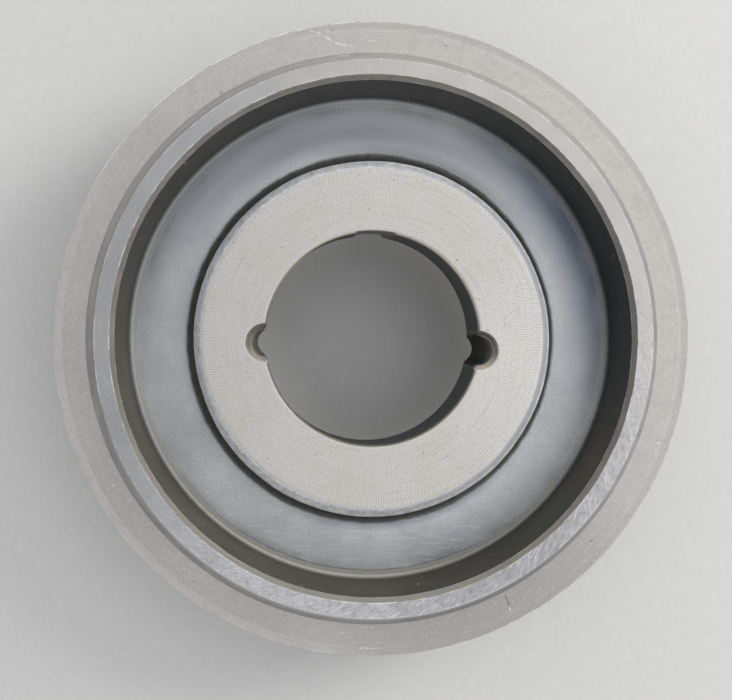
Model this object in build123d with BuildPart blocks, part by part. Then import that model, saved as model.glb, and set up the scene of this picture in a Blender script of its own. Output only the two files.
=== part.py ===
from build123d import *

import os
from math import radians, tan

# V belt pulley with a seat for a standard taper bush.
# The frame sits on the axis at mid width, with +Z towards the small end of the seat.
# The wheel centre carries the bush and the web, the groove ring carries the belts.

# Belt grooves: narrow V belt section with a datum width of 11 mm
datum_diameter = 236.0
datum_width = 11.0
groove_angle = 38.0
height_above_datum = 2.75
depth_below_datum = 11.0
groove_pitch = 15.0
edge_to_groove = 10.0
groove_count = 2

# Groove ring
outer_radius = datum_diameter / 2 + height_above_datum
ring_half_width = ((groove_count - 1) * groove_pitch + 2 * edge_to_groove) / 2
ring_bevel_reach = 4.05
ring_bevel_drop = 1.7
fit_radius = 102.4

# Collar of the wheel centre, proud of the groove ring on both sides
collar_half_height = 29.0
wall_radius_at_mouth = 95.1
wall_radius_at_web = 94.1
mouth_chamfer = 1.7
stop_radius = 108.2

# Web and hub
web_half_thickness = 4.5
web_wall_fillet = 1.5
web_hub_fillet = 5.5
hub_radius = 67.4
hub_root_radius = 67.7
hub_corner_radius = 8.0
facing_allowance = 1.25

# Taper bush seat, 8 degrees included
seat_length = 44.45
seat_small_radius = 39.75
seat_half_angle = 4.0
seat_small_bevel = 0.75
seat_large_bevel = 1.2
core_radius = 36.0

# Half holes in the seat: two run through, one is blind from the large end
screw_hole_diameter = 12.7
screw_hole_centre_radius = 40.0
screw_hole_spread = 85.65
screw_countersink = 1.05
removal_hole_depth = 26.0

# Axial lock pins, half in the collar and half in the groove ring
pin_diameter = 4.0
pin_length = 12.0
pin_count = 3
pin_first_angle = 30.0

hub_half_length = seat_length / 2
hub_cast_half_length = hub_half_length + facing_allowance
seat_large_radius = seat_small_radius + seat_length * tan(radians(seat_half_angle))
groove_half_angle = radians(groove_angle / 2)
groove_top_half_width = datum_width / 2 + height_above_datum * tan(groove_half_angle)
groove_floor_half_width = datum_width / 2 - depth_below_datum * tan(groove_half_angle)
groove_floor_radius = datum_diameter / 2 - depth_below_datum
pin_bottom = -ring_half_width
pin_top = pin_bottom + pin_length

os.makedirs("parts", exist_ok=True)


def corner_near(section, radius, height):
    """The section's corner that lies nearest to a radius and a height."""
    return section.vertices().sort_by_distance((radius, height))[0]


def mouth_at(part, height):
    """The smallest circular edge of a part on one level, which is the mouth of its bore."""
    level = part.edges().filter_by(GeomType.CIRCLE).filter_by_position(Axis.Z, height, height)
    return level.sort_by(SortBy.RADIUS)[0]


# Wheel centre: hub, web and collar in one casting
with BuildPart() as wheel_centre:
    with BuildSketch(Plane.XZ) as casting_section:
        with BuildLine():
            Polyline(
                (core_radius, 0),
                (core_radius, hub_cast_half_length),
                (hub_radius, hub_cast_half_length),
                (hub_root_radius, web_half_thickness),
                (wall_radius_at_web, web_half_thickness),
                (wall_radius_at_mouth, collar_half_height),
                (fit_radius, collar_half_height),
                (fit_radius, 0),
                close=True,
            )
        make_face()
        fillet(corner_near(casting_section, hub_radius, hub_cast_half_length), hub_corner_radius)
        fillet(corner_near(casting_section, hub_root_radius, web_half_thickness), web_hub_fillet)
        fillet(corner_near(casting_section, wall_radius_at_web, web_half_thickness), web_wall_fillet)
        chamfer(corner_near(casting_section, wall_radius_at_mouth, collar_half_height), mouth_chamfer)
        mirror(about=Plane.XZ)
    revolve(axis=Axis.Z)

    # Sloped stop that the groove ring is pressed up against, on the +Z side
    with BuildSketch(Plane.XZ):
        with BuildLine():
            Polyline(
                (fit_radius, ring_half_width),
                (stop_radius, ring_half_width),
                (fit_radius, collar_half_height),
                close=True,
            )
        make_face()
    revolve(axis=Axis.Z)

    # Both ends of the hub are faced to the length of the bush
    for end in (-1, 1):
        with BuildSketch(Plane.XY.offset(end * hub_half_length)):
            Circle(hub_root_radius)
        extrude(amount=end * facing_allowance * 2, mode=Mode.SUBTRACT)

    # Taper seat, bevelled at both mouths
    with BuildSketch(Plane.XZ):
        with BuildLine():
            Polyline(
                (0, -hub_half_length),
                (seat_large_radius, -hub_half_length),
                (seat_small_radius, hub_half_length),
                (0, hub_half_length),
                close=True,
            )
        make_face()
    revolve(axis=Axis.Z, mode=Mode.SUBTRACT)
    chamfer(mouth_at(wheel_centre, hub_half_length), seat_small_bevel)
    chamfer(mouth_at(wheel_centre, -hub_half_length), seat_large_bevel)

    # Two screw half holes through the hub, countersunk at the small end
    with PolarLocations(screw_hole_centre_radius, 2, -90 - screw_hole_spread, 2 * screw_hole_spread,
                        endpoint=True):
        Cylinder(screw_hole_diameter / 2, seat_length, mode=Mode.SUBTRACT)
    with Locations((0, 0, hub_half_length - screw_countersink / 2)):
        with PolarLocations(screw_hole_centre_radius, 2, -90 - screw_hole_spread,
                            2 * screw_hole_spread, endpoint=True):
            Cone(
                screw_hole_diameter / 2,
                screw_hole_diameter / 2 + screw_countersink,
                screw_countersink,
                mode=Mode.SUBTRACT,
            )

    # One plain half hole, blind from the large end, for driving the bush out
    with BuildSketch(Plane.XY.offset(-hub_half_length)):
        with Locations((0, screw_hole_centre_radius)):
            Circle(screw_hole_diameter / 2)
    extrude(amount=removal_hole_depth, mode=Mode.SUBTRACT)

    # Inner halves of the lock pin holes, open to the collar's end so that the pins can be driven in
    with BuildSketch(Plane.XY.offset(-collar_half_height)):
        with PolarLocations(fit_radius, pin_count, pin_first_angle):
            Circle(pin_diameter / 2)
    extrude(amount=pin_top + collar_half_height, mode=Mode.SUBTRACT)


# Groove ring: pressed over the collar from the -Z side
with BuildPart() as groove_ring:
    with BuildSketch(Plane.XZ):
        with BuildLine():
            Polyline(
                (fit_radius, -ring_half_width),
                (outer_radius - ring_bevel_reach, -ring_half_width),
                (outer_radius, -ring_half_width + ring_bevel_drop),
                (outer_radius, ring_half_width - ring_bevel_drop),
                (outer_radius - ring_bevel_reach, ring_half_width),
                (fit_radius, ring_half_width),
                close=True,
            )
        make_face()
        with GridLocations(0, groove_pitch, 1, groove_count):
            Polygon(
                (groove_floor_radius, -groove_floor_half_width),
                (outer_radius, -groove_top_half_width),
                (outer_radius, groove_top_half_width),
                (groove_floor_radius, groove_floor_half_width),
                align=None,
                mode=Mode.SUBTRACT,
            )
    revolve(axis=Axis.Z)

    # Outer halves of the lock pin holes
    with BuildSketch(Plane.XY.offset(pin_bottom)):
        with PolarLocations(fit_radius, pin_count, pin_first_angle):
            Circle(pin_diameter / 2)
    extrude(amount=pin_length, mode=Mode.SUBTRACT)


# Lock pins: dowels that stop the ring turning or creeping on the collar
with BuildPart() as lock_pins:
    with BuildSketch(Plane.XY.offset(pin_bottom)):
        with PolarLocations(fit_radius, pin_count, pin_first_angle):
            Circle(pin_diameter / 2)
    extrude(amount=pin_length)


wheel_centre.part.label = "wheel_centre"
groove_ring.part.label = "groove_ring"
lock_pins.part.label = "lock_pins"
export_step(wheel_centre.part, "parts/wheel_centre.step")
export_step(groove_ring.part, "parts/groove_ring.step")
export_step(lock_pins.part, "parts/lock_pins.step")
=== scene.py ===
import math

import bmesh
import bpy
import numpy as np
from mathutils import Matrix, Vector, noise


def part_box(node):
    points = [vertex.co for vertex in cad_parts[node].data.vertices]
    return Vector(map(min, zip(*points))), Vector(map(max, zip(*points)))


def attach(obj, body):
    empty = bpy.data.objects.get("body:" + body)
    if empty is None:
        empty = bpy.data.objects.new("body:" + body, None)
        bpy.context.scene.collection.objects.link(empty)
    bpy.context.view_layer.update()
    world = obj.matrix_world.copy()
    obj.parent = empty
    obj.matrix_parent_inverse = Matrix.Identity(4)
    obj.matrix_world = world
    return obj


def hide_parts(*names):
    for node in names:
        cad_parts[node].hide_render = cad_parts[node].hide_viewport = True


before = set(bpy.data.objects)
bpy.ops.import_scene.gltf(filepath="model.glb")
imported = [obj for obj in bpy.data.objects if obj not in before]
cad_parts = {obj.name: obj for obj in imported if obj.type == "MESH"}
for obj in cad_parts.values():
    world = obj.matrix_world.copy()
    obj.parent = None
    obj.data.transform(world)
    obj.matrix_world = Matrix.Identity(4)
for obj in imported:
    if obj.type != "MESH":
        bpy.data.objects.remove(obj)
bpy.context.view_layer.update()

MM = 0.001

# Places read from the CAD frame, in millimetres
centre_low, centre_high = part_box("wheel_centre")
ring_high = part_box("groove_ring")[1]
COLLAR_HALF_HEIGHT = centre_high.z / MM
STOP_RADIUS = centre_high.x / MM
RING_HALF_WIDTH = ring_high.z / MM
OUTER_RADIUS = ring_high.x / MM
PIN_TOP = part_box("lock_pins")[1].z / MM
FLOOR_HEIGHT = centre_low.z

# Shape of the wheel centre, in millimetres
FIT_RADIUS = 102.4
WALL_MOUTH_RADIUS = 95.06
WALL_ROOT_RADIUS = 94.2
MOUTH_CHAMFER = 1.74
WEB_HALF = 4.5
WALL_FILLET = 1.5
FILLET_BANK = 0.1
HUB_RADIUS = 67.4
HUB_ROOT_RADIUS = 67.7
HUB_FILLET = 5.5
HUB_CORNER = 8.0
HUB_HALF = 22.225
FACING = 1.25
SEAT_SMALL_RADIUS = 39.75
SEAT_TAPER = math.tan(math.radians(4.0))
SEAT_SMALL_BEVEL = 0.75
SEAT_LARGE_BEVEL = 1.2
TOOL_LINE_RADIUS = 91.0
TOOL_LINE_HALF = 0.25
TOOL_LINE_BANK = 0.4
TOOL_LINE_DEPTH = 0.01

# The casting's hub bulges a little towards one side, fading in down its round corner
HUB_BULGE = 0.33
HUB_BULGE_TURN = math.radians(-70)
HUB_BULGE_START = 63.7
HUB_BULGE_FADE = 3.0

# Waviness of the cast skin in each zone, outwards and upwards, and the span and share of two waves
CAST_SWELL = {
    "hub_skin": (0.16, 0.0),
    "web": (0.03, 0.12),
    "web_rim": (0.02, 0.05),
    "wall": (0.03, 0.0),
}
SLOW_SPAN, SLOW_SHARE = 13.0, 1.1
FINE_SPAN, FINE_SHARE = 4.5, 0.55
WAVE_SEED = 3.0
FINE_SEED = 9.0

# Half holes in the seat
HOLE_CENTRE = 40.0
HOLE_RADIUS = 6.35
HOLE_SPREAD = math.radians(85.65)
HOLE_COUNTERSINK = 1.05
COUNTERSINK_DEPTH = 1.9
THREAD_PITCH = 2.117
THREAD_DEPTH = 1.0
THREAD_STEEPNESS = 1.35
THREAD_CREST = 0.2
BLIND_FLOOR = 3.775
HOLE_MARGIN = 0.16

# Directions of the two screw half holes and the blind one
HOLE_MIDDLES = (-math.pi / 2 - HOLE_SPREAD, -math.pi / 2 + HOLE_SPREAD, math.pi / 2)
BLIND_HOLE = 2
HOLE_RADII = (HOLE_RADIUS, HOLE_RADIUS + HOLE_COUNTERSINK)
SEAT_HOLES = [(middle, HOLE_CENTRE, HOLE_RADII) for middle in HOLE_MIDDLES]

# Lock pins on the joint between the collar and the groove ring, and the heights clear of them
PIN_RADIUS = 2.0
PIN_REACH = 4.0
PIN_MIDDLES = [math.radians(30 + 120 * number) for number in range(3)]
PIN_HOLES = [(middle, FIT_RADIUS, (PIN_RADIUS,)) for middle in PIN_MIDDLES]
PIN_CLEAR = PIN_TOP + 0.1
ABOVE_PINS = (PIN_TOP + 0.05, PIN_TOP + 0.25)
JOINT_MIDDLE = 10.0

# Shape of the groove ring, in millimetres
BEVEL_REACH = 4.05
BEVEL_DROP = 1.7
BEVEL_BANK = 1.4
GROOVE_PITCH = 15.0
GROOVE_FLOOR_RADIUS = 107.0
GROOVE_FLOOR_HALF = 1.712
GROOVE_TOP_HALF = 6.447

# From this radius on the ring's corners are worn bright, and further in only faintly
WORN_RIM = OUTER_RADIUS - BEVEL_REACH + 1.0
FAINT_WEAR = 0.1

# Columns of points round each piece and across each hole, rows across the hub faces and up the seat
WHEEL_COLUMNS = 420
RING_COLUMNS = 600
HOLE_COLUMNS = 17
FACE_SHARES = (0.04, 0.2, 0.5, 0.8, 0.95)
SEAT_LEVELS = (
    -HUB_HALF, 0.4 - HUB_HALF, SEAT_LARGE_BEVEL - HUB_HALF, -19.0, -16.0, -12.0, -8.0, -4.0, 0.0,
    BLIND_FLOOR, BLIND_FLOOR + 0.02, 6.0, 9.0, 13.0, 17.0, HUB_HALF - 2.1, HUB_HALF - 1.05,
    HUB_HALF - SEAT_SMALL_BEVEL, HUB_HALF - 0.35, HUB_HALF,
)
THREAD_STEP = THREAD_PITCH / 8

# Sizes of the worn rounds at the corners, and their points: share of the way round and edge wear
EDGE_ROUND = 0.22
MOUTH_ROUND = 0.16
BEVEL_ROUND = 0.6
LOWER_BEVEL_ROUND = 0.4
RIM_ROUND = 0.32
GROOVE_ROUND = 0.5
ROUND_POINTS = ((0.0, 0.2), (0.33, 1.0), (0.67, 1.0), (1.0, 0.2))
ROUND_BANK = 2.2

# Knocks on the worn corners: how many, their seed and the largest depth, then what they all share
WHEEL_KNOCKS = (60, 11, 0.2)
RING_KNOCKS = (45, 23, 0.16)
KNOCK_LEAST = 0.03
KNOCK_SKEW = 2.5
KNOCK_WIDTH, KNOCK_WIDER = 0.6, 2.2
KNOCKED_WEAR = 0.3


class Outline:
    """A closed section of a turned piece: radius, height, zone and edge wear of each point."""

    def __init__(self):
        self.points = []

    def add(self, radius, height, zone, edge=0.0):
        self.points.append((radius, height, zone, edge))

    def line(self, end, steps, zone, include_end=False):
        """Points from the last one towards end, so that the band after each is in the zone."""
        start_r, start_z, _, edge = self.points[-1]
        self.points[-1] = (start_r, start_z, zone, edge)
        for step in range(1, steps + 1 if include_end else steps):
            share = step / steps
            radius = start_r + (end[0] - start_r) * share
            self.add(radius, start_z + (end[1] - start_z) * share, zone)

    def arc(self, centre, radius, start, end, steps, zone):
        for step in range(steps + 1):
            turn = math.radians(start + (end - start) * step / steps)
            self.add(centre[0] + radius * math.cos(turn), centre[1] + radius * math.sin(turn), zone)

    def corner(self, before, at, after, zone_before, zone_after, size=EDGE_ROUND):
        """A small worn round at a sharp corner, with one more point on each of its banks."""
        before, at, after = Vector(before), Vector(at), Vector(after)
        into = at + (before - at).normalized() * size
        away = at + (after - at).normalized() * size
        self.add(*(at + (before - at).normalized() * size * ROUND_BANK), zone_before)
        for share, edge in ROUND_POINTS:
            point = into * (1 - share) ** 2 + at * 2 * share * (1 - share) + away * share ** 2
            self.add(*point, zone_before if share < 0.5 else zone_after, edge)
        self.add(*(at + (after - at).normalized() * size * ROUND_BANK), zone_after)


def wrap(angle):
    return (angle + math.pi) % (2 * math.pi) - math.pi


def column_angles(count, holes):
    """Even angles, with closer ones across each hole: its direction, centre radius and own radii."""
    angles = set(np.round(np.arange(count) * 2 * math.pi / count, 6))
    for middle, distance, radii in holes:
        margin = HOLE_MARGIN / distance
        reach = math.asin(max(radii) / distance)
        angles = {a for a in angles if abs(wrap(a - middle)) > reach + margin}
        own = {round(-reach - margin / 2, 5), round(reach + margin / 2, 5)}
        for radius in radii:
            for turn in np.linspace(-math.pi / 2, math.pi / 2, HOLE_COLUMNS):
                own.add(round(math.asin(radius / distance * math.sin(turn)), 5))
        kept = []
        for offset in sorted(own):
            if not kept or offset - kept[-1] > margin / 10:
                kept.append(offset)
        angles |= {round((middle + offset) % (2 * math.pi), 6) for offset in kept}
    return np.array(sorted(angles))


def pin_hole(angle):
    """Half width of a lock pin's hole across the joint in one direction, or 0 beside it."""
    for middle in PIN_MIDDLES:
        offset = wrap(angle - middle)
        cross = FIT_RADIUS * math.sin(offset)
        if abs(offset) < 1 and abs(cross) < PIN_RADIUS:
            return math.sqrt(PIN_RADIUS ** 2 - cross ** 2)
    return 0.0


def beside_pin(radius, channel, side):
    """Pushes a point away from the joint, to one side, clear of a pin's hole without bunching up."""
    gap = abs(radius - FIT_RADIUS)
    if gap >= PIN_REACH:
        return radius
    return FIT_RADIUS + side * (channel + gap * (1 - channel / PIN_REACH))


def thread_radius(height, turn):
    """Radius of the threaded half hole at a height and a direction round its own axis."""
    phase = (height / THREAD_PITCH + turn / (2 * math.pi)) % 1.0
    crest = 1.0 - abs(2.0 * phase - 1.0)
    return HOLE_RADIUS - THREAD_DEPTH * min(1.0, max(0.0, THREAD_STEEPNESS * crest - THREAD_CREST))


def hole_reach(angle, height):
    """How far the half holes reach from the wheel's axis in one direction, or 0 beside them."""
    for number, middle in enumerate(HOLE_MIDDLES):
        offset = wrap(angle - middle)
        plain = number == BLIND_HOLE
        if plain and height > BLIND_FLOOR:
            continue
        countersunk = HOLE_RADIUS + HOLE_COUNTERSINK - (HUB_HALF - height)
        widest = HOLE_RADIUS if plain else max(HOLE_RADIUS, countersunk)
        cross = HOLE_CENTRE * math.sin(offset)
        if abs(offset) > 0.5 or abs(cross) >= widest:
            continue
        radius = widest
        if not plain:
            radius = max(thread_radius(height, math.asin(cross / widest)), countersunk)
        if abs(cross) < radius:
            return HOLE_CENTRE * math.cos(offset) + math.sqrt(radius ** 2 - cross ** 2)
    return 0.0


def seat_radius(angle, height):
    """Radius of the tapered seat, its two bevelled mouths and its half holes."""
    radius = SEAT_SMALL_RADIUS + (HUB_HALF - height) * SEAT_TAPER
    radius += max(0.0, SEAT_SMALL_BEVEL - (HUB_HALF - height))
    radius += max(0.0, SEAT_LARGE_BEVEL - (HUB_HALF + height))
    return max(radius, hole_reach(angle, height))


def near_hole(angle):
    reach = math.asin((HOLE_RADIUS + HOLE_COUNTERSINK) / HOLE_CENTRE) + 0.001
    return any(abs(wrap(angle - middle)) < reach for middle in HOLE_MIDDLES)


def half_wheel(side):
    """Outline of one side of the wheel centre, from the hub face to the collar's outer corner."""
    outline = Outline()
    corner_z = HUB_HALF + FACING - HUB_CORNER
    start = math.degrees(math.asin((HUB_HALF - corner_z) / HUB_CORNER))
    outline.arc((HUB_RADIUS - HUB_CORNER, corner_z), HUB_CORNER, start, 0, 7, "hub_skin")
    outline.points[0] = (*outline.points[0][:3], 0.5)
    outline.line((HUB_ROOT_RADIUS, WEB_HALF + HUB_FILLET), 2, "hub_skin")
    root = (HUB_ROOT_RADIUS + HUB_FILLET, WEB_HALF + HUB_FILLET)
    outline.arc(root, HUB_FILLET, 180, 270, 7, "web")
    outline.line((TOOL_LINE_RADIUS - TOOL_LINE_BANK, WEB_HALF), 6, "web", include_end=True)
    outline.add(TOOL_LINE_RADIUS - TOOL_LINE_HALF, WEB_HALF, "web_rim")
    outline.add(TOOL_LINE_RADIUS, WEB_HALF - TOOL_LINE_DEPTH, "web_rim")
    outline.add(TOOL_LINE_RADIUS + TOOL_LINE_HALF, WEB_HALF, "web_rim")
    outline.add(TOOL_LINE_RADIUS + TOOL_LINE_BANK, WEB_HALF, "web_rim")
    root = (WALL_ROOT_RADIUS - WALL_FILLET, WEB_HALF + WALL_FILLET)
    outline.add(root[0] - FILLET_BANK, WEB_HALF, "web_rim")
    outline.arc(root, WALL_FILLET, 270, 360, 6, "web_rim")
    chamfer_foot = (WALL_MOUTH_RADIUS, COLLAR_HALF_HEIGHT - MOUTH_CHAMFER)
    chamfer_top = (WALL_MOUTH_RADIUS + MOUTH_CHAMFER, COLLAR_HALF_HEIGHT)
    collar_edge = (FIT_RADIUS, COLLAR_HALF_HEIGHT)
    outline.line(chamfer_foot, 4, "wall")
    outline.corner((WALL_ROOT_RADIUS, WEB_HALF), chamfer_foot, chamfer_top, "wall", "mouth")
    outline.corner(chamfer_foot, chamfer_top, collar_edge, "mouth", "collar", MOUTH_ROUND)
    outline.line((FIT_RADIUS - 2 * EDGE_ROUND, COLLAR_HALF_HEIGHT), 3, "collar")
    if side > 0:
        foot = (STOP_RADIUS, RING_HALF_WIDTH)
        outline.corner(chamfer_top, collar_edge, foot, "collar", "stop")
        outline.line(foot, 4, "stop")
        outline.corner(collar_edge, foot, (FIT_RADIUS, RING_HALF_WIDTH), "stop", "fit")
        outline.add(FIT_RADIUS, RING_HALF_WIDTH, "fit")
        return outline.points
    outline.corner(chamfer_top, collar_edge, (FIT_RADIUS, 0), "collar", "fit")
    return [(r, -z, zone, edge) for r, z, zone, edge in reversed(outline.points)]


def swell(x, y, z):
    """Slow and fine waviness of a cast skin, from about -1 to 1."""
    slow = noise.noise(Vector((x / SLOW_SPAN, y / SLOW_SPAN, z / SLOW_SPAN + WAVE_SEED)))
    fine = noise.noise(Vector((x / FINE_SPAN, y / FINE_SPAN, z / FINE_SPAN + WAVE_SEED + FINE_SEED)))
    return SLOW_SHARE * slow + FINE_SHARE * fine


def swell_reach(outline):
    """How far the waviness moves each point outwards and upwards, eased from zone to zone."""
    reach = [CAST_SWELL.get(point[2], (0.0, 0.0)) for point in outline]
    return [
        tuple(sum(reach[(i + k) % len(reach)][axis] for k in (-1, 0, 1)) / 3 for axis in (0, 1))
        for i in range(len(reach))
    ]


def make_knocks(count, seed, largest):
    """Seeded knocks: angle, half width in millimetres and depth in millimetres."""
    rng = np.random.default_rng(seed)
    spots = []
    for _ in range(count):
        size = largest * rng.random() ** KNOCK_SKEW + KNOCK_LEAST
        spots.append((rng.random() * 2 * math.pi, KNOCK_WIDTH + KNOCK_WIDER * rng.random(), size))
    return spots


def knocked(radius, height, angle, knocks, edge, fall):
    """Moves a worn point inwards by the knocks at one angle, and towards mid width by a share of that."""
    depth = 0.0
    for middle, width, size in knocks:
        offset = wrap(angle - middle) * radius / width
        if abs(offset) < 3:
            depth += size * math.exp(-offset * offset)
    depth *= edge
    return radius - depth, height - math.copysign(depth * fall, height)


def build_object(part, slots, vertices, faces, zones, edges):
    """A mesh with one material slot for each zone, standing in for one part of the CAD frame."""
    name = part + "_body"
    mesh = bpy.data.meshes.new(name)
    mesh.from_pydata([Vector(v) * MM for v in vertices], [], faces)
    for zone in slots:
        mesh.materials.append(MATERIALS[zone])
    mesh.polygons.foreach_set("material_index", [slots.index(zone) for zone in zones])
    mesh.polygons.foreach_set("use_smooth", [True] * len(faces))
    mesh.attributes.new("edge", "FLOAT", "POINT").data.foreach_set("value", edges)
    fixed = bmesh.new()
    fixed.from_mesh(mesh)
    bmesh.ops.recalc_face_normals(fixed, faces=fixed.faces)
    fixed.to_mesh(mesh)
    fixed.free()
    piece = bpy.data.objects.new(name, mesh)
    bpy.context.scene.collection.objects.link(piece)
    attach(piece, "root")
    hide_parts(part)
    return piece


def stitch(left, right):
    """Faces between two chains of points of equal length, or one long chain and a single edge."""
    if len(left) == len(right):
        return [(left[m], right[m], right[m + 1], left[m + 1]) for m in range(len(left) - 1)]
    if len(left) > len(right):
        fan = [(left[m], right[0], left[m + 1]) for m in range(len(left) - 1)]
        return fan + [(right[0], right[-1], left[-1])]
    fan = [(left[0], right[m], right[m + 1]) for m in range(len(right) - 1)]
    return fan + [(left[0], right[-1], left[-1])]


def wheel_section(angle, outline, reach, knocks):
    """The wheel centre's outline at one angle, with its waviness, bulge, knocks and pin holes."""
    points = []
    channel = pin_hole(angle)
    for (radius, height, zone, edge), (out, up) in zip(outline, reach):
        if out or up:
            wave = swell(radius * math.cos(angle), radius * math.sin(angle), height)
            radius += out * wave
            height += up * wave if abs(height) < HUB_HALF - 0.01 else 0.0
        if zone == "hub_skin":
            bulge = HUB_BULGE * max(0.0, math.cos(angle - HUB_BULGE_TURN))
            radius += bulge * min(1.0, max(0.0, (radius - HUB_BULGE_START) / HUB_BULGE_FADE))
        if edge > KNOCKED_WEAR and radius > FIT_RADIUS - 1:
            radius, height = knocked(radius, height, angle, knocks, edge, fall=0.6)
        if height < PIN_CLEAR:
            radius = beside_pin(radius, channel, -1)
        points.append((radius, height, edge))
    return points


def wheel_faces(vertices, columns, chains, zone_rows):
    """Faces between neighbouring columns and their zones, with the half holes' finer rows stitched in."""
    seat_start = zone_rows.index("seat")
    faces, zones = [], []
    for j, left in enumerate(columns):
        k = (j + 1) % len(columns)
        right = columns[k]
        threaded = chains[j][0] and chains[k][0]
        for i, zone in enumerate(zone_rows):
            n = (i + 1) % len(zone_rows)
            if zone != "seat":
                faces.append((left[i], right[i], right[n], left[n]))
                zones.append(zone)
                continue
            left_chain = [left[i], *chains[j][1][i - seat_start], left[n]]
            right_chain = [right[i], *chains[k][1][i - seat_start], right[n]]
            for face in stitch(left_chain, right_chain):
                faces.append(face)
                deep = vertices[face[0]][2] < HUB_HALF - COUNTERSINK_DEPTH
                zones.append(("thread" if deep else "countersink") if threaded else "seat")
    return faces, zones


def build_wheel_centre():
    """Hub, web and collar as one turned and bored casting."""
    angles = column_angles(WHEEL_COLUMNS, SEAT_HOLES + PIN_HOLES)
    joint = [(FIT_RADIUS, z, "fit", 0.0) for z in (JOINT_MIDDLE, *reversed(ABOVE_PINS))]
    outline = half_wheel(1) + joint + half_wheel(-1)
    reach = swell_reach(outline)
    knocks = make_knocks(*WHEEL_KNOCKS)
    vertices, wear, columns, chains = [], [], [], []

    def vertex(radius, angle, height, edge=0.0):
        vertices.append((radius * math.cos(angle), radius * math.sin(angle), height))
        wear.append(edge)
        return len(vertices) - 1

    for angle in angles:
        points = wheel_section(angle, outline, reach, knocks)
        mouth, foot = seat_radius(angle, HUB_HALF), seat_radius(angle, -HUB_HALF)
        first, last = points[0][0], points[-1][0]
        column = [vertex(mouth + (first - mouth) * s, angle, HUB_HALF) for s in FACE_SHARES]
        column += [vertex(r, angle, z, e) for r, z, e in points]
        column += [vertex(foot + (last - foot) * s, angle, -HUB_HALF) for s in reversed(FACE_SHARES)]
        between = []
        dense = near_hole(angle)
        for low, high in zip(SEAT_LEVELS, SEAT_LEVELS[1:]):
            column.append(vertex(seat_radius(angle, low), angle, low))
            steps = max(1, round((high - low) / THREAD_STEP)) if dense else 1
            inner = [low + (high - low) * k / steps for k in range(1, steps)]
            between.append([vertex(seat_radius(angle, z), angle, z) for z in inner])
        column.append(vertex(mouth, angle, HUB_HALF))
        columns.append(column)
        chains.append((dense, between))

    shares = ["hub_face"] * len(FACE_SHARES)
    zone_rows = shares + [point[2] for point in outline[:-1]] + ["hub_face"] + shares
    zone_rows += ["seat"] * (len(SEAT_LEVELS) - 1) + ["hub_face"]
    faces, zones = wheel_faces(vertices, columns, chains, zone_rows)
    slots = [*dict.fromkeys(zone_rows), "thread", "countersink"]
    return build_object("wheel_centre", slots, vertices, faces, zones, wear)


def ring_outline():
    """Section of the groove ring: two bevelled faces, three lands and two V grooves."""
    outline = Outline()
    half = RING_HALF_WIDTH
    bevel_radius = OUTER_RADIUS - BEVEL_REACH
    upper, lower = (bevel_radius, half), (bevel_radius, -half)
    outline.add(FIT_RADIUS, half, "ring_face")
    outline.line((bevel_radius - BEVEL_BANK, half), 10, "ring_face", include_end=True)
    rim = (OUTER_RADIUS, half - BEVEL_DROP)
    outline.corner((FIT_RADIUS, half), upper, rim, "ring_face", "ring_bevel", BEVEL_ROUND)
    outline.corner(upper, rim, (OUTER_RADIUS, 0), "ring_bevel", "land", RIM_ROUND)
    for middle in (GROOVE_PITCH / 2, -GROOVE_PITCH / 2):
        lip_in = (OUTER_RADIUS, middle + GROOVE_TOP_HALF)
        floor_in = (GROOVE_FLOOR_RADIUS, middle + GROOVE_FLOOR_HALF)
        floor_out = (GROOVE_FLOOR_RADIUS, middle - GROOVE_FLOOR_HALF)
        lip_out = (OUTER_RADIUS, middle - GROOVE_TOP_HALF)
        outline.corner((OUTER_RADIUS, lip_in[1] + 1), lip_in, floor_in, "land", "flank")
        outline.line(floor_in, 8, "flank")
        outline.corner(lip_in, floor_in, floor_out, "flank", "groove_floor", GROOVE_ROUND)
        outline.corner(floor_in, floor_out, lip_out, "groove_floor", "flank", GROOVE_ROUND)
        outline.line(lip_out, 8, "flank")
        outline.corner(floor_out, lip_out, (OUTER_RADIUS, lip_out[1] - 1), "flank", "land")
    rim = (OUTER_RADIUS, BEVEL_DROP - half)
    outline.corner((OUTER_RADIUS, 0), rim, lower, "land", "ring_bevel")
    outline.corner(rim, lower, (FIT_RADIUS, -half), "ring_bevel", "ring_face", LOWER_BEVEL_ROUND)
    outline.line((FIT_RADIUS, -half), 14, "ring_face", include_end=True)
    for height in ABOVE_PINS:
        outline.add(FIT_RADIUS, height, "fit")
    return outline.points


def build_groove_ring():
    """The belt carrying ring, knocked along its two rims."""
    points = ring_outline()
    knocks = make_knocks(*RING_KNOCKS)
    vertices, wear, columns = [], [], []
    for angle in column_angles(RING_COLUMNS, PIN_HOLES):
        column = []
        channel = pin_hole(angle)
        for radius, height, _, edge in points:
            at_rim = radius > OUTER_RADIUS - 1 and abs(height) > RING_HALF_WIDTH - 3
            if edge > KNOCKED_WEAR and at_rim:
                radius, height = knocked(radius, height, angle, knocks, edge, fall=0.5)
            if height < PIN_CLEAR:
                radius = beside_pin(radius, channel, 1)
            column.append(len(vertices))
            vertices.append((radius * math.cos(angle), radius * math.sin(angle), height))
            wear.append(edge if radius > WORN_RIM else edge * FAINT_WEAR)
        columns.append(column)
    faces, zones = [], []
    for j, left in enumerate(columns):
        right = columns[(j + 1) % len(columns)]
        for i, point in enumerate(points):
            n = (i + 1) % len(points)
            faces.append((left[i], right[i], right[n], left[n]))
            zones.append(point[2])
    return build_object("groove_ring", list(dict.fromkeys(zones)), vertices, faces, zones, wear)


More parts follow.
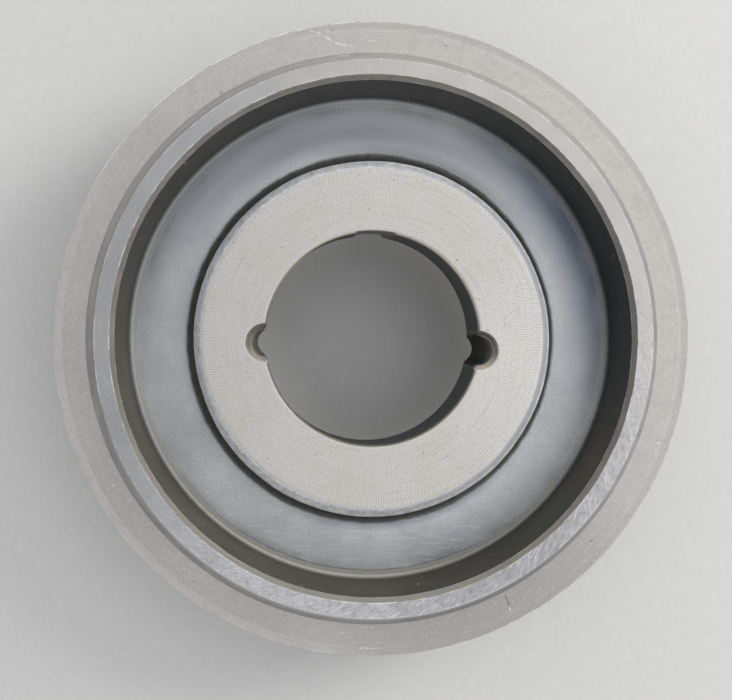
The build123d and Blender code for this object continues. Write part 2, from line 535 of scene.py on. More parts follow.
class Nodes:
    """Short calls for adding nodes to one tree."""

    def __init__(self, tree):
        self.tree = tree

    def put(self, socket, value):
        if isinstance(value, bpy.types.NodeSocket):
            self.tree.links.new(value, socket)
        elif socket.type == "RGBA" and not isinstance(value, (int, float)):
            socket.default_value = (*value, 1.0)
        else:
            socket.default_value = value

    def new(self, kind, *values, **labelled):
        """A new node, with its inputs filled in their order or by their labels."""
        node = self.tree.nodes.new("ShaderNode" + kind)
        for socket, value in zip(node.inputs, values):
            self.put(socket, value)
        for label, value in labelled.items():
            self.put(node.inputs[label], value)
        return node

    def math(self, kind, a, b=0.0, c=0.0, clamp=False):
        node = self.new("Math", a, b, c)
        node.operation = kind
        node.use_clamp = clamp
        return node.outputs[0]

    def times(self, value, *others):
        """Product of two or more values."""
        for other in others:
            value = self.math("MULTIPLY", value, other)
        return value

    def plus(self, a, b):
        return self.math("ADD", a, b)

    def linear(self, value, slope, start):
        return self.math("MULTIPLY_ADD", value, slope, start)

    def hypotenuse(self, a, b):
        return self.math("SQRT", self.plus(self.times(a, a), self.times(b, b)))

    def pair(self, kind, a, b):
        node = self.new("VectorMath", a, b)
        node.operation = kind
        return node.outputs["Value" if kind in ("DOT_PRODUCT", "DISTANCE") else "Vector"]


class Graph(Nodes):
    """One material in millimetres round the wheel's axis, with the colour laid on so far."""

    def __init__(self, name):
        self.material = bpy.data.materials.new(name)
        self.material.use_nodes = True
        super().__init__(self.material.node_tree)
        self.tree.nodes.clear()
        self.shader = self.new("BsdfPrincipled")
        self.output = self.new("OutputMaterial", self.shader.outputs[0])
        place = self.new("TexCoord").outputs["Object"]
        x, y, z = self.new("SeparateXYZ", place).outputs
        scale = self.new("VectorMath", place)
        scale.operation = "SCALE"
        scale.inputs["Scale"].default_value = 1 / MM
        self.place = scale.outputs[0]
        self.across = self.times(x, 1 / MM)
        self.up = self.times(y, 1 / MM)
        self.radius = self.times(self.hypotenuse(x, y), 1 / MM)
        self.angle = self.math("ARCTAN2", y, x)
        self.height = self.times(z, 1 / MM)
        self.colour = None

    def vector(self, x, y, z):
        return self.new("CombineXYZ", x, y, z).outputs[0]

    def noise(self, scale, detail=3.0, roughness=0.55, vector=None):
        vector = self.place if vector is None else vector
        node = self.new("TexNoise", Vector=vector, Scale=scale, Detail=detail, Roughness=roughness)
        return node.outputs["Fac"]

    def streaks(self, along, across, detail, roughness=0.55, twist=0.0, drift=0.0):
        """Noise drawn out round the axis: features along it per radian and across it per millimetre."""
        lean = self.linear(self.radius, twist, self.angle)
        side = self.plus(self.times(self.radius, across), self.linear(self.height, across, drift))
        x = self.times(self.math("COSINE", lean), along)
        y = self.times(self.math("SINE", lean), along)
        return self.noise(1.0, detail, roughness, self.vector(x, y, side))

    def range(self, value, low, high, to_low=0.0, to_high=1.0):
        return self.new("MapRange", value, low, high, to_low, to_high).outputs["Result"]

    def rings(self, start, end, to_low=0.0, to_high=1.0):
        """From one value to the other between two radii."""
        return self.range(self.radius, start, end, to_low, to_high)

    def towards(self, degrees, low, high):
        """From 0 to 1 as the cosine of the angle from the given direction goes from low to high."""
        turn = self.math("SUBTRACT", self.angle, math.radians(degrees))
        return self.range(self.math("COSINE", turn), low, high)

    def stroke(self, start, end, width):
        """A stroke on the upper side between two places, each an angle in degrees and a radius, for
        scratches, spots and a painted glint.
        """
        first, last = [
            Vector((radius * math.cos(turn), radius * math.sin(turn), 0))
            for turn, radius in ((math.radians(degrees), radius) for degrees, radius in (start, end))
        ]
        along = last - first
        offset = self.pair("SUBTRACT", self.vector(self.across, self.up, 0.0), first)
        reach = self.pair("DOT_PRODUCT", offset, along)
        share = self.math("DIVIDE", reach, along.length_squared, clamp=True)
        foot = self.vector(*[self.times(share, part) for part in along])
        gap = self.linear(self.noise(0.7, 2.0), 1.6, self.pair("DISTANCE", offset, foot))
        line = self.range(gap, 0.66, 0.8 + width, 1.0, 0.0)
        return self.times(line, self.range(self.height, 0.0, 1.0))

    def mix(self, factor, a, b):
        node = self.new("Mix", factor)
        node.data_type = "RGBA"
        self.put(node.inputs[6], a)
        self.put(node.inputs[7], b)
        return node.outputs[2]

    def between(self, texture, a, b, low=0.35, high=0.65):
        """Two colours mixed by a texture."""
        return self.mix(self.range(texture, low, high), a, b)

    def tint(self, tint, *amounts):
        """Lays a tint over the colour by the product of the amounts."""
        self.colour = self.mix(self.times(*amounts), self.colour, tint)

    def finish(self, roughness, metallic, relief=None, depth=0.0):
        """Fills in the shader; relief from 0 to 1 stands for a depth in millimetres."""
        looks = {"Base Color": self.colour, "Roughness": roughness, "Metallic": metallic}
        if relief is not None:
            looks["Normal"] = self.new("Bump", Distance=depth * MM, Height=relief).outputs["Normal"]
        for label, value in looks.items():
            self.put(self.shader.inputs[label], value)
        return self.material


# Looks: tints are linear red, green and blue, directions are in degrees round the axis from +X,
# and radii and heights are in millimetres
# Bare bright metal for wear and scratches, also the colour of a painted glint.
BARE_METAL_AND_GLINT = (0.92, 0.92, 0.91)
GRIME = (0.10, 0.085, 0.065)
RUST = (0.26, 0.12, 0.05)


def worn_edges(graph, amount):
    """Bare bright metal in broken patches along the corners."""
    patches = graph.range(graph.noise(0.12, 4.0, 0.7), 0.46, 0.62, 0.15, 1.0)
    edge = graph.new("Attribute")
    edge.attribute_name = "edge"
    graph.tint(BARE_METAL_AND_GLINT, edge.outputs["Fac"], patches, amount)


def painted_shade_lower_right(graph, amount):
    """Painted shade: darkens the rim towards the lower right, about -63 degrees."""
    graph.tint((0.25, 0.25, 0.25), graph.towards(-63.0, 0.84, 0.99), amount)


def specks(graph, tint, scale, low, high, amount):
    """Small scattered spots of another tint."""
    spots = graph.range(graph.noise(scale, 2.0, 0.5), low, high)
    graph.tint(tint, spots, amount)


def hub_face_material():
    graph = Graph("turned_hub_face")
    lathe = graph.streaks(3.0, 2.2, 2.0)
    ring = graph.linear(graph.noise(0.06, 1.0), 1.2, graph.times(graph.radius, 0.33))
    lag = graph.linear(graph.math("FLOOR", ring), 2.3, graph.times(graph.radius, 0.8))
    swing = graph.times(graph.noise(0.16, 2.0), 11.0)
    wave = graph.math("SINE", graph.plus(graph.linear(graph.angle, 420.0, swing), lag))
    gate = graph.range(graph.streaks(60.0, 0.9, 2.0), 0.36, 0.58, 0.15, 1.0)
    chatter = graph.times(graph.range(wave, -0.1, 0.9), gate)
    ridges = graph.times(graph.range(wave, -0.2, -0.9), gate)
    mottle = graph.noise(0.05, 3.0, 0.6)
    graph.colour = graph.between(mottle, (0.64, 0.615, 0.575), (0.67, 0.66, 0.66))
    # Painted light: lighter towards the right side, about -8 degrees.
    graph.tint((0.78, 0.78, 0.76), graph.towards(-8.0, 0.72, 1.0), 0.50)
    graph.tint((0.33, 0.315, 0.295), chatter, 0.50)
    graph.tint((0.86, 0.85, 0.82), ridges, 0.45)
    graph.tint((0.43, 0.415, 0.39), graph.range(lathe, 0.50, 0.72, 0.0, 0.35))
    # Painted shade: darker towards the left side, about 165 degrees.
    graph.tint((0.42, 0.42, 0.42), graph.towards(165.0, 0.2, 1.0), 0.16)
    specks(graph, GRIME, 0.9, 0.68, 0.74, 0.6)
    relief = graph.plus(graph.times(chatter, -0.6), graph.times(lathe, 0.5))
    rough = graph.range(mottle, 0.3, 0.7, 0.42, 0.52)
    return graph.finish(rough, 0.75, relief, 0.07)


def painted_hub_root_shade(graph):
    """Painted shade round the foot of the hub, on its side and on the web out to about 71 mm, its edge
    wandering and set wider or narrower by direction.
    """
    edge = graph.linear(graph.noise(0.16, 4.0, 0.6), 1.4, 70.6)
    edge = graph.linear(graph.math("ABSOLUTE", graph.math("SINE", graph.angle)), 0.55, edge)
    edge = graph.linear(graph.towards(-50.0, -1.0, 1.0), 0.8, graph.math("SUBTRACT", edge, 0.4))
    edge = graph.linear(graph.towards(76.0, 0.75, 1.0), 0.5, edge)
    spread = graph.range(graph.math("SUBTRACT", graph.radius, edge), 0.0, 1.0, 1.0, 0.0)
    above = graph.range(graph.math("ABSOLUTE", graph.height), 11.0, 16.0, 1.0, 0.0)
    mottled = graph.mix(graph.noise(0.5), (0.055, 0.060, 0.062), (0.17, 0.17, 0.155))
    graph.tint(mottled, above, spread, 0.95)


def hub_skin_material():
    graph = Graph("hub_cast_skin")
    skin = graph.noise(0.7, 5.0, 0.65)
    strokes = graph.streaks(95.0, 0.5, 5.0, 0.75, twist=0.03)
    blotch = graph.noise(0.30, 5.0, 0.7)
    graph.colour = graph.between(skin, (0.56, 0.57, 0.61), (0.80, 0.80, 0.83))
    # Painted light: lighter out towards the hub's round corner.
    graph.tint((0.97, 0.97, 0.98), graph.rings(65.6, 66.8, 0.0, 0.75))
    # Painted shade: darker on the inner part of the round towards the right side.
    graph.tint((0.34, 0.35, 0.38), graph.towards(2.0, -0.3, 0.85), graph.rings(66.7, 65.2), 0.8)
    # Painted light: lighter on the outer part of the round towards the bottom side.
    graph.tint((0.98, 0.98, 1.0), graph.towards(-98.0, 0.6, 0.98), graph.rings(65.0, 66.2), 0.7)
    graph.tint((0.36, 0.37, 0.41), graph.range(strokes, 0.48, 0.60, 0.0, 0.45))
    graph.tint((0.40, 0.41, 0.45), graph.range(blotch, 0.48, 0.62, 0.0, 0.55))
    painted_hub_root_shade(graph)
    worn_edges(graph, 0.5)
    relief = graph.plus(graph.times(skin, 0.5), graph.times(blotch, 0.5))
    return graph.finish(graph.range(skin, 0.3, 0.7, 0.50, 0.62), 0.35, relief, 0.2)


# Painted shade patches on the web: tint, amount, direction with its two cosines, and radii
WEB_PAINTED_SHADES = (
    ((0.255, 0.26, 0.28), 0.7, (72.0, 0.78, 0.98), (77.5, 74.0)),
    ((0.25, 0.265, 0.305), 0.65, (136.0, 0.74, 1.0), (79.0, 87.0)),
    ((0.28, 0.285, 0.30), 0.35, (156.0, 0.86, 1.0), (84.0, 90.0)),
    ((0.20, 0.215, 0.29), 0.5, (-76.0, 0.75, 0.98), (75.6, 73.4)),
    ((0.25, 0.265, 0.305), 0.30, (-72.0, 0.7, 1.0), (76.0, 83.0)),
)


def painted_web_shade(graph):
    """Painted shade on the web: blue towards 28 degrees out near the wall, grey-blue towards the top, and
    darker patches in given directions.
    """
    drift = graph.linear(graph.noise(0.03, 3.0), 0.7, -0.35)
    tone_mask = graph.plus(graph.towards(28.0, 0.72, 1.0), drift)
    tone_mask = graph.math("MULTIPLY", tone_mask, graph.rings(75.0, 87.5), clamp=True)
    tone_mask = graph.times(tone_mask, graph.rings(88.0, 92.0, 0.92, 0.60))
    graph.tint((0.120, 0.160, 0.235), tone_mask)
    rise = graph.rings(73.5, 79.0, 0.25, 1.0)
    fall = graph.rings(82.0, 90.0, 0.85, 0.10)
    upper_painted_shade = graph.times(graph.towards(104.0, 0.50, 0.98), graph.times(rise, fall))
    graph.tint((0.265, 0.275, 0.32), upper_painted_shade)
    for tint, amount, side, radii in WEB_PAINTED_SHADES:
        graph.tint(tint, graph.towards(*side), graph.rings(*radii), amount)


def web_material():
    graph = Graph("satin_web")
    cloud = graph.noise(0.045, 4.0, 0.6)
    grain = graph.noise(1.1, 3.0, 0.6)
    lathe = graph.streaks(1.5, 1.2, 2.0)
    sideways = graph.vector(graph.times(graph.across, 0.10), graph.times(graph.up, 1.1), 0.0)
    brushed = graph.noise(1.0, 3.0, 0.6, sideways)
    graph.colour = graph.between(cloud, (0.49, 0.50, 0.53), (0.65, 0.66, 0.69))
    painted_web_shade(graph)
    # Light brushed streaks shown only towards the lower side: painted sheen.
    brushed_sheen = graph.times(graph.range(brushed, 0.52, 0.68), graph.towards(-85.0, 0.3, 0.9))
    graph.tint((0.80, 0.80, 0.82), brushed_sheen, 0.35)
    graph.tint((0.34, 0.345, 0.365), graph.range(grain, 0.40, 0.7, 0.0, 0.40))
    specks(graph, (0.75, 0.74, 0.72), 0.5, 0.745, 0.77, 0.5)
    specks(graph, GRIME, 1.3, 0.74, 0.77, 0.5)
    painted_hub_root_shade(graph)
    relief = graph.plus(graph.times(grain, 0.6), graph.times(lathe, 0.4))
    rough = graph.range(cloud, 0.35, 0.65, 0.36, 0.46)
    return graph.finish(rough, 0.7, relief, 0.05)


def web_rim_material():
    graph = Graph("web_rim")
    cloud = graph.noise(0.045, 4.0, 0.6)
    grain = graph.noise(1.1, 3.0, 0.6)
    graph.colour = graph.between(cloud, (0.60, 0.605, 0.62), (0.72, 0.72, 0.73))
    painted_web_shade(graph)
    # Painted reflection: an olive tint towards the bottom side.
    graph.tint((0.46, 0.45, 0.39), graph.towards(-98.0, 0.1, 0.9), 0.75)
    line = graph.rings(TOOL_LINE_RADIUS + 0.05, TOOL_LINE_RADIUS + 0.3, 1.0, 0.0)
    broken = graph.range(graph.noise(0.2, 3.0, 0.6), 0.40, 0.55, 0.25, 0.75)
    graph.tint((0.13, 0.14, 0.16), line, graph.towards(-92.0, 0.7, 0.97), broken)
    upper = graph.range(graph.height, WEB_HALF + 0.25, WEB_HALF + 1.1)
    low_side = graph.towards(-115.0, 0.2, 0.9)
    # The wall's dark tone carried up the fillet, lighter towards the lower left: painted light.
    wall_tone = graph.mix(low_side, (0.11, 0.11, 0.105), (0.21, 0.205, 0.175))
    graph.tint(wall_tone, upper, 0.85)
    # Painted shade in the fillet: darker towards the upper left, and darkest towards the right where the
    # collar shades it.
    graph.tint((0.18, 0.18, 0.19), graph.rings(92.6, 93.4), graph.towards(135.0, -0.4, 0.5), 0.6)
    graph.tint((0.045, 0.055, 0.065), graph.towards(6.0, 0.0, 0.9), graph.rings(92.3, 93.5), 0.9)
    graph.tint((0.27, 0.27, 0.27), graph.range(grain, 0.35, 0.7, 0.0, 0.35))
    return graph.finish(0.48, 0.65, grain, 0.06)


def wall_material():
    graph = Graph("dark_wall")
    tone_mask = graph.noise(0.05, 4.0, 0.6)
    grain = graph.noise(1.0, 3.0, 0.6)
    low = graph.between(tone_mask, (0.032, 0.034, 0.032), (0.050, 0.051, 0.046), high=0.7)
    high = graph.between(tone_mask, (0.080, 0.077, 0.061), (0.108, 0.104, 0.082), high=0.7)
    # Painted light and shade: a lit copy of the wall's tone towards the lower left, a shaded copy
    # elsewhere.
    graph.colour = graph.mix(graph.towards(-118.0, -0.9, 0.75), low, high)
    # Painted light towards the top, painted shade towards 156 degrees.
    graph.tint((0.085, 0.085, 0.08), graph.towards(100.0, 0.6, 1.0), 0.5)
    graph.tint((0.03, 0.03, 0.027), graph.towards(156.0, 0.86, 1.0), 0.45)
    graph.tint((0.115, 0.115, 0.10), graph.range(grain, 0.50, 0.70, 0.0, 0.40))
    specks(graph, (0.45, 0.45, 0.40), 0.55, 0.71, 0.74, 0.8)
    rusty = graph.range(graph.noise(0.12, 5.0, 0.7), 0.60, 0.72)
    graph.tint(RUST, rusty, graph.range(graph.towards(200.0, -0.2, 0.8), 0.0, 1.0, 0.08, 0.35))
    # Painted shade: darker towards the right side.
    graph.tint((0.018, 0.020, 0.022), graph.towards(2.0, 0.8, 1.0), 0.5)
    graph.tint(RUST, graph.towards(-27.0, 0.988, 1.0), graph.range(tone_mask, 0.3, 0.6), 0.12)
    return graph.finish(0.55, 0.35, grain, 0.06)


def mouth_material():
    graph = Graph("mouth_chamfer")
    lathe = graph.streaks(2.0, 3.0, 2.0)
    tint = graph.noise(0.09, 4.0)
    graph.colour = graph.between(tint, (0.195, 0.182, 0.168), (0.27, 0.258, 0.232))
    # Painted light towards the bottom side, painted shade towards the right.
    graph.tint((0.36, 0.35, 0.305), graph.towards(-100.0, 0.3, 0.95), 0.75)
    graph.tint((0.12, 0.115, 0.10), graph.towards(2.0, 0.85, 1.0), 0.4)
    graph.tint((0.13, 0.125, 0.11), graph.range(lathe, 0.45, 0.7, 0.0, 0.4))
    worn_edges(graph, 0.8)
    for place in ((14.8, 97.0), (1.5, 95.9)):
        spot = graph.stroke(place, (place[0] + 0.3, place[1]), 0.5)
        graph.tint(RUST, spot, 0.6)
    return graph.finish(0.5, 0.6, lathe, 0.04)


def collar_material():
    graph = Graph("scratched_collar")
    leaning = graph.streaks(330.0, 0.10, 5.0, 0.75, twist=0.010)
    crossing = graph.streaks(150.0, 0.30, 4.0, 0.7, twist=0.022, drift=40.0)
    mottle = graph.noise(0.45, 4.0, 0.65)
    bold = graph.streaks(60.0, 0.30, 3.0, 0.6, twist=0.02, drift=80.0)
    cloud = graph.noise(0.06, 3.0)
    # The collar's real scratches and spots are painted strongest towards the lower right, where they
    # catch the light: partly painted sheen.
    sheen_side = graph.linear(graph.towards(-65.0, 0.05, 0.85), 0.85, 0.15)
    graph.colour = graph.between(cloud, (0.42, 0.42, 0.435), (0.51, 0.51, 0.52))
    # Painted light towards the bottom, the right and the upper right, painted shade towards the left.
    graph.tint((0.70, 0.70, 0.74), graph.towards(-95.0, 0.5, 0.98), 0.60)
    graph.tint((0.68, 0.67, 0.66), graph.towards(-5.0, 0.8, 1.0), 0.5)
    graph.tint((0.64, 0.62, 0.57), graph.towards(58.0, 0.1, 0.9), 0.55)
    graph.tint((0.34, 0.345, 0.365), graph.towards(175.0, 0.3, 0.9), 0.55)
    painted_shade_lower_right(graph, 0.42)
    graph.tint((0.25, 0.25, 0.28), graph.range(crossing, 0.50, 0.62), sheen_side, 0.45)
    gathered = graph.range(graph.noise(0.16, 3.0, 0.6), 0.40, 0.62, 0.12, 1.0)
    graph.tint((0.86, 0.86, 0.90), graph.range(leaning, 0.50, 0.62), sheen_side, gathered, 0.90)
    graph.tint((0.28, 0.28, 0.31), graph.range(mottle, 0.50, 0.62), sheen_side, 0.50)
    graph.tint((0.80, 0.80, 0.84), graph.range(bold, 0.54, 0.66), sheen_side, 0.55)
    worn_edges(graph, 1.0)
    relief = graph.plus(graph.times(leaning, 0.5), graph.times(crossing, 0.5))
    rough = graph.range(leaning, 0.35, 0.65, 0.40, 0.52)
    return graph.finish(rough, 0.8, relief, 0.07)


def stop_material():
    graph = Graph("sloped_stop")
    lathe = graph.streaks(2.0, 1.4, 3.0)
    cloud = graph.noise(0.09, 4.0)
    graph.colour = graph.between(cloud, (0.33, 0.325, 0.335), (0.44, 0.43, 0.43))
    # Painted light towards the top side.
    graph.tint((0.58, 0.565, 0.53), graph.towards(105.0, 0.1, 0.9), 0.6)
    graph.tint((0.25, 0.245, 0.25), graph.range(lathe, 0.5, 0.72, 0.0, 0.35))
    # Painted shade at the foot of the stop, in the crease along the ring face.
    graph.tint((0.20, 0.19, 0.185), graph.range(graph.height, 18.6, 17.6, 0.0, 0.45))
    painted_shade_lower_right(graph, 0.55)
    # Painted shade on the upper part towards the left, painted light on it towards the bottom.
    dim = graph.times(graph.range(graph.height, 24.0, 28.0), graph.towards(160.0, 0.3, 0.95))
    graph.tint((0.24, 0.24, 0.25), dim, 0.5)
    lit = graph.times(graph.range(graph.height, 25.0, 28.0), graph.towards(-98.0, 0.4, 0.95))
    graph.tint((0.72, 0.72, 0.75), lit, 0.9)
    burr = graph.stroke((98.6, 106.6), (96.8, 106.8), 0.8)
    graph.tint((0.85, 0.84, 0.81), burr, 0.85)
    rusty = graph.stroke((96.2, 106.4), (93.6, 106.8), 1.1)
    graph.tint((0.42, 0.26, 0.20), rusty, 0.55)
    # Painted highlight: a glint on the stop.
    glint = graph.stroke((72.0, 104.1), (72.2, 104.1), 1.0)
    graph.tint(BARE_METAL_AND_GLINT, glint, 0.9)
    worn_edges(graph, 1.0)
    return graph.finish(0.44, 0.7, lathe, 0.05)


# Old scratches of the ring's face: start and end as an angle in degrees and a radius, and a width
SCRATCHES = (
    ((103.4, 119.0), (101.6, 117.6), 0.3),
    ((100.5, 117.9), (99.7, 117.7), 0.25),
    ((100.9, 115.8), (98.6, 112.4), 0.35),
    ((98.6, 112.4), (96.6, 111.1), 0.3),
    ((96.6, 111.1), (93.8, 109.6), 0.3),
    ((92.6, 112.8), (91.2, 112.7), 0.4),
    ((-90.0, 117.4), (-86.2, 117.4), 0.4),
    ((-94.2, 111.9), (-92.6, 111.8), 0.25),
    ((-66.4, 112.3), (-65.8, 112.3), 0.3),
    ((-34.0, 112.5), (-32.0, 114.5), 0.1),
)


def satin_face(name, low, high, mark, amount, painted_light, dim):
    """Satin turned face: cloudy tint, painted light and shade, faint tool rings, fine grain and stray
    scratches.
    """
    graph = Graph(name)
    cloud = graph.noise(0.035, 4.0, 0.55)
    blotch = graph.noise(0.14, 4.0, 0.6)
    grain = graph.noise(1.0, 4.0, 0.65)
    lathe = graph.streaks(1.5, 1.6, 2.0)
    scratch = graph.streaks(120.0, 0.1, 2.0, 0.5, twist=0.02)
    graph.colour = graph.between(cloud, low, high)
    # Painted light towards the upper right, stronger further in; on the outer part and bevel, painted
    # shade towards the upper right and painted light towards the lower left, as strong as dim.
    inward = graph.rings(117.0, 111.0, 0.3, painted_light)
    graph.tint((0.62, 0.60, 0.55), graph.towards(38.0, 0.1, 1.0), inward)
    outward = graph.rings(116.0, 119.0, 0.0, dim)
    graph.tint((0.40, 0.395, 0.38), graph.towards(38.0, 0.2, 1.0), outward)
    graph.tint((0.66, 0.63, 0.60), graph.towards(-138.0, 0.0, 0.8), dim)
    painted_shade_lower_right(graph, 0.42)
    graph.tint(mark, graph.range(blotch, 0.48, 0.68, 0.0, 0.30))
    graph.tint(mark, graph.range(grain, 0.45, 0.68, 0.0, 0.30))
    graph.tint((0.72, 0.71, 0.69), graph.range(grain, 0.48, 0.32, 0.0, 0.30))
    graph.tint(mark, graph.range(lathe, 0.5, 0.75, 0.0, amount))
    graph.tint(BARE_METAL_AND_GLINT, graph.range(scratch, 0.72, 0.76, 0.0, 0.5))
    specks(graph, BARE_METAL_AND_GLINT, 0.35, 0.745, 0.77, 0.7)
    specks(graph, GRIME, 0.4, 0.745, 0.77, 0.5)
    for start, end, width in SCRATCHES:
        graph.tint(BARE_METAL_AND_GLINT, graph.stroke(start, end, width), 0.6)
    gouge = graph.stroke((-60.4, 109.4), (-60.7, 114.4), 0.55)
    graph.tint((0.16, 0.155, 0.14), gouge, 0.7)
    graph.tint(BARE_METAL_AND_GLINT, graph.stroke((-60.7, 114.6), (-60.8, 115.4), 0.5))
    for place in ((-8.5, 119.4), (-77.0, 109.6), (123.3, 109.0)):
        spot = graph.stroke(place, (place[0] + 0.2, place[1]), 0.5)
        graph.tint(RUST, spot, 0.6)
    worn_edges(graph, 1.0)
    # Painted highlight: a broken bright line along the outer rim, mostly towards 115 degrees.
    rim_glint_breaks = graph.range(graph.noise(0.35, 3.0, 0.6), 0.40, 0.55, 0.1, 1.0)
    lower = graph.times(graph.towards(-22.0, 0.7, 0.95), 0.3)
    rim_glint_sides = graph.math("MAXIMUM", graph.towards(115.0, 0.75, 0.97), lower)
    graph.tint((0.97, 0.97, 0.96), graph.times(graph.rings(120.1, 120.45), rim_glint_breaks), rim_glint_sides)
    relief = graph.plus(graph.times(grain, 0.5), graph.times(lathe, 0.5))
    relief = graph.linear(gouge, -1.5, relief)
    rough = graph.range(cloud, 0.35, 0.65, 0.40, 0.48)
    return graph.finish(rough, 0.8, relief, 0.05)


def seat_material():
    graph = Graph("taper_seat")
    lathe = graph.streaks(2.0, 2.5, 3.0)
    # Near black: painted shade deep in the bore.
    graph.colour = graph.between(lathe, (0.035, 0.038, 0.042), (0.075, 0.076, 0.076), high=0.7)
    mouth = graph.range(graph.math("ABSOLUTE", graph.height), HUB_HALF - 0.9, HUB_HALF - 0.7)
    tint = graph.mix(graph.noise(0.3, 3.0), (0.16, 0.15, 0.12), (0.36, 0.33, 0.27))
    # Painted light: the mouth's bevel lighter towards the top side.
    tint = graph.mix(graph.towards(80.0, 0.0, 0.8), tint, (0.62, 0.57, 0.48))
    graph.tint(tint, mouth, 0.9)
    return graph.finish(0.5, 0.5, lathe, 0.04)


def countersink_material():
    graph = Graph("countersunk_mouth")
    grain = graph.noise(0.9, 4.0, 0.6)
    rings = graph.math("SINE", graph.times(graph.height, 9.0))
    graph.colour = graph.between(grain, (0.17, 0.165, 0.145), (0.27, 0.26, 0.235))
    # Painted shade on the upper side of each countersink, painted light on the lower side.
    graph.tint((0.10, 0.10, 0.09), graph.range(graph.up, -2.0, 3.0, 0.0, 0.55))
    graph.tint((0.66, 0.60, 0.54), graph.range(graph.up, -4.0, -9.0, 0.0, 0.8))
    graph.tint((0.16, 0.15, 0.13), graph.range(rings, 0.2, 0.9, 0.0, 0.35))
    return graph.finish(0.42, 0.6, grain, 0.06)


def thread_material():
    graph = Graph("threaded_half_hole")
    grain = graph.noise(0.8, 4.0, 0.6)
    # Painted light and shade: a lit copy of the thread's tone in the left hole and near the mouth, a
    # shaded copy deeper in.
    deep = graph.between(grain, (0.045, 0.047, 0.047), (0.085, 0.085, 0.08))
    near = graph.between(grain, (0.17, 0.165, 0.15), (0.26, 0.25, 0.225))
    left = graph.range(graph.across, 20.0, -20.0)
    lit = graph.math("MAXIMUM", left, graph.range(graph.height, 15.0, 20.5, 0.0, 0.6))
    graph.colour = graph.mix(lit, deep, near)
    # Painted light on the thread crests near the mouth, strongest in the left hole.
    outward = graph.math("ABSOLUTE", graph.across)
    aside = graph.math("SUBTRACT", outward, HOLE_CENTRE * math.sin(HOLE_SPREAD))
    below = graph.plus(graph.up, HOLE_CENTRE * math.cos(HOLE_SPREAD))
    own = graph.hypotenuse(aside, below)
    crest = graph.range(own, HOLE_RADIUS - 0.3, HOLE_RADIUS - 0.85)
    mouth = graph.range(graph.height, 6.0, 20.0)
    graph.tint((0.56, 0.52, 0.46), crest, mouth, graph.range(graph.across, 20.0, -20.0, 0.2, 1.0), 0.75)
    return graph.finish(0.42, 0.6, grain, 0.05)


def flank_material(name, low, high):
    graph = Graph(name)
    lathe = graph.streaks(1.2, 1.9, 3.0)
    cloud = graph.noise(0.06, 3.0)
    graph.colour = graph.between(cloud, low, high)
    graph.tint((0.22, 0.22, 0.21), graph.range(lathe, 0.5, 0.75, 0.0, 0.4))
    worn_edges(graph, 0.9)
    return graph.finish(graph.range(lathe, 0.3, 0.7, 0.34, 0.46), 0.8, lathe, 0.05)


def pin_material():
    graph = Graph("ground_steel")
    grain = graph.noise(3.0, 3.0, 0.6)
    graph.colour = graph.between(grain, (0.50, 0.50, 0.50), (0.66, 0.66, 0.66))
    specks(graph, RUST, 0.6, 0.6, 0.7, 0.5)
    return graph.finish(0.32, 0.95, grain, 0.02)


MATERIALS = {
    "hub_face": hub_face_material(),
    "hub_skin": hub_skin_material(),
    "web": web_material(),
    "web_rim": web_rim_material(),
    "wall": wall_material(),
    "mouth": mouth_material(),
    "collar": collar_material(),
    "stop": stop_material(),
    "fit": flank_material("turned_fit", (0.42, 0.42, 0.41), (0.50, 0.50, 0.49)),
    "seat": seat_material(),
    "thread": thread_material(),
    "countersink": countersink_material(),
    "ring_face": satin_face(
        "ring_face", (0.515, 0.505, 0.485), (0.555, 0.55, 0.54), (0.41, 0.40, 0.39),
        amount=0.15, painted_light=0.55, dim=0.0,
    ),
    "ring_bevel": satin_face(
        "ring_bevel", (0.525, 0.515, 0.49), (0.565, 0.555, 0.54), (0.42, 0.41, 0.395),
        amount=0.2, painted_light=0.3, dim=0.5,
    ),
    "land": flank_material("ring_land", (0.48, 0.47, 0.45), (0.55, 0.54, 0.52)),
    "flank": flank_material("groove_flank", (0.40, 0.40, 0.39), (0.47, 0.47, 0.46)),
    "groove_floor": flank_material("groove_floor", (0.24, 0.24, 0.23), (0.31, 0.31, 0.30)),
}

wheel_piece = build_wheel_centre()
ring_piece = build_groove_ring()
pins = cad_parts["lock_pins"]
pins.data.materials.clear()
pins.data.materials.append(pin_material())


# Camera: straight above a point left of the axis, its picture shifted to bring the wheel back in
CAMERA_PLACE = Vector((-23.2, 0.42, COLLAR_HALF_HEIGHT + 329.7)) * MM
CAMERA_ROLL = math.radians(2.06)
FOCAL_LENGTH = 44.34
SENSOR_WIDTH = 36.0
NEAREST_SEEN = 0.01
PICTURE_SHIFT = (0.0764, -0.0202)

# Floor and lights, in metres and watts
FLOOR_RADIUS = 6.0
FLOOR_STEPS = 96
FLOOR_GAP = 0.0001
FILL_PLACE = (0, 0, -0.9)
FILL_SIZE = 1.2
FILL_POWER = 8.0
KEY_PLACE = (1.15, 0.62, 0.62)
KEY_SIZE = 0.7
KEY_POWER = 14.0
KEY_COLOUR = (1.0, 0.985, 0.96)
SKY_LEVEL = 0.82
SKY_SLOPE = 1.12
SKY_FOCUS = 3.0
SKY_TURN = math.radians(28)


def add_camera():
    data = bpy.data.cameras.new("camera")
    data.lens = FOCAL_LENGTH
    data.sensor_width = SENSOR_WIDTH
    data.shift_x, data.shift_y = PICTURE_SHIFT
    data.clip_start = NEAREST_SEEN
    camera = bpy.data.objects.new("camera", data)
    bpy.context.scene.collection.objects.link(camera)
    camera.location = CAMERA_PLACE
    camera.rotation_euler = (0, 0, CAMERA_ROLL)
    bpy.context.scene.camera = camera


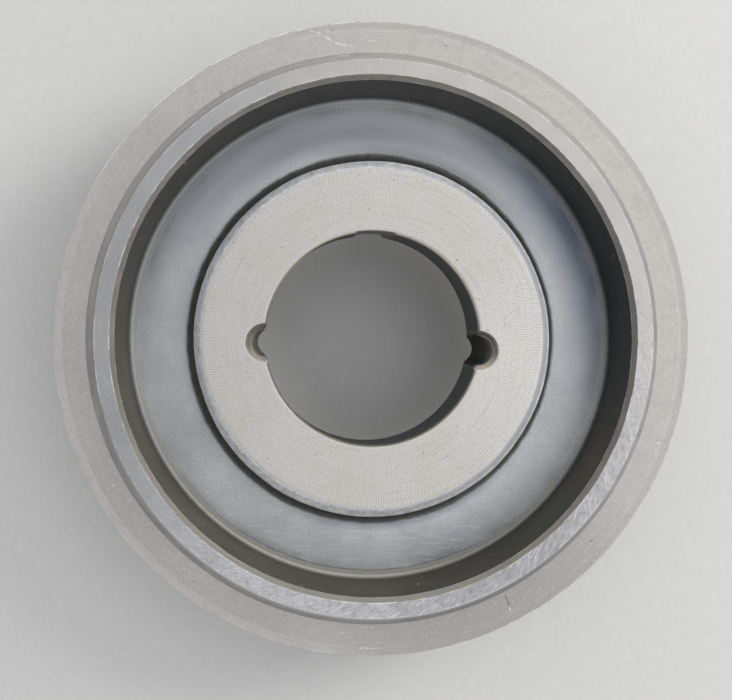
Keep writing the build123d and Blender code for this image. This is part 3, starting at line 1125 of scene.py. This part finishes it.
def add_area_light(name, place, size, power, colour=(1, 1, 1)):
    """A round soft light aimed at the wheel."""
    data = bpy.data.lights.new(name, "AREA")
    data.shape = "DISK"
    data.size = size
    data.energy = power
    data.color = colour
    light = bpy.data.objects.new(name, data)
    light.location = place
    light.visible_glossy = False
    light.rotation_euler = Vector(place).to_track_quat("Z", "Y").to_euler()
    bpy.context.scene.collection.objects.link(light)
    return light


def light_underside(pieces):
    """A soft fill from below that passes the floor, to show the side that the wheel rests on."""
    wheel = bpy.data.collections.new("wheel")
    for piece in pieces:
        wheel.objects.link(piece)
    light = add_area_light("fill", FILL_PLACE, FILL_SIZE, FILL_POWER)
    light.light_linking.receiver_collection = wheel
    light.light_linking.blocker_collection = wheel
    light.visible_camera = False


def add_floor():
    """A plain pale disc under the wheel, clear when seen from below."""
    mesh = bpy.data.meshes.new("floor")
    turns = [2 * math.pi * step / FLOOR_STEPS for step in range(FLOOR_STEPS)]
    height = FLOOR_HEIGHT - FLOOR_GAP
    rim = [(FLOOR_RADIUS * math.cos(turn), FLOOR_RADIUS * math.sin(turn), height) for turn in turns]
    mesh.from_pydata(rim, [], [range(FLOOR_STEPS)])
    graph = Graph("pale_floor")
    graph.colour = graph.between(graph.noise(0.4), (0.60, 0.60, 0.60), (0.63, 0.63, 0.63), 0.3, 0.7)
    mesh.materials.append(graph.finish(0.8, 0.0))
    below = graph.new("NewGeometry").outputs["Backfacing"]
    clear = graph.new("BsdfTransparent").outputs[0]
    blend = graph.new("MixShader", below, graph.shader.outputs[0], clear)
    graph.put(graph.output.inputs[0], blend.outputs[0])
    floor = bpy.data.objects.new("floor", mesh)
    bpy.context.scene.collection.objects.link(floor)


def add_sky():
    """Soft light from all round, brighter overhead towards the key light's side."""
    world = bpy.data.worlds.new("studio")
    world.use_nodes = True
    sky = Nodes(world.node_tree)
    direction = sky.new("TexCoord").outputs["Generated"]
    bright_side = Vector((math.cos(SKY_TURN), math.sin(SKY_TURN), 0.0))
    ahead = sky.pair("DOT_PRODUCT", direction, bright_side)
    steep = sky.math("POWER", sky.new("SeparateXYZ", direction).outputs[2], SKY_FOCUS, clamp=True)
    background = sky.tree.nodes["Background"]
    sky.put(background.inputs["Color"], (1.0, 1.0, 1.0))
    strength = sky.linear(sky.times(ahead, steep), SKY_SLOPE, SKY_LEVEL)
    sky.put(background.inputs["Strength"], strength)
    bpy.context.scene.world = world


add_camera()
add_floor()
light_underside((wheel_piece, ring_piece, pins))
add_area_light("key", KEY_PLACE, KEY_SIZE, KEY_POWER, KEY_COLOUR)
add_sky()
bpy.context.scene.view_settings.view_transform = "Standard"
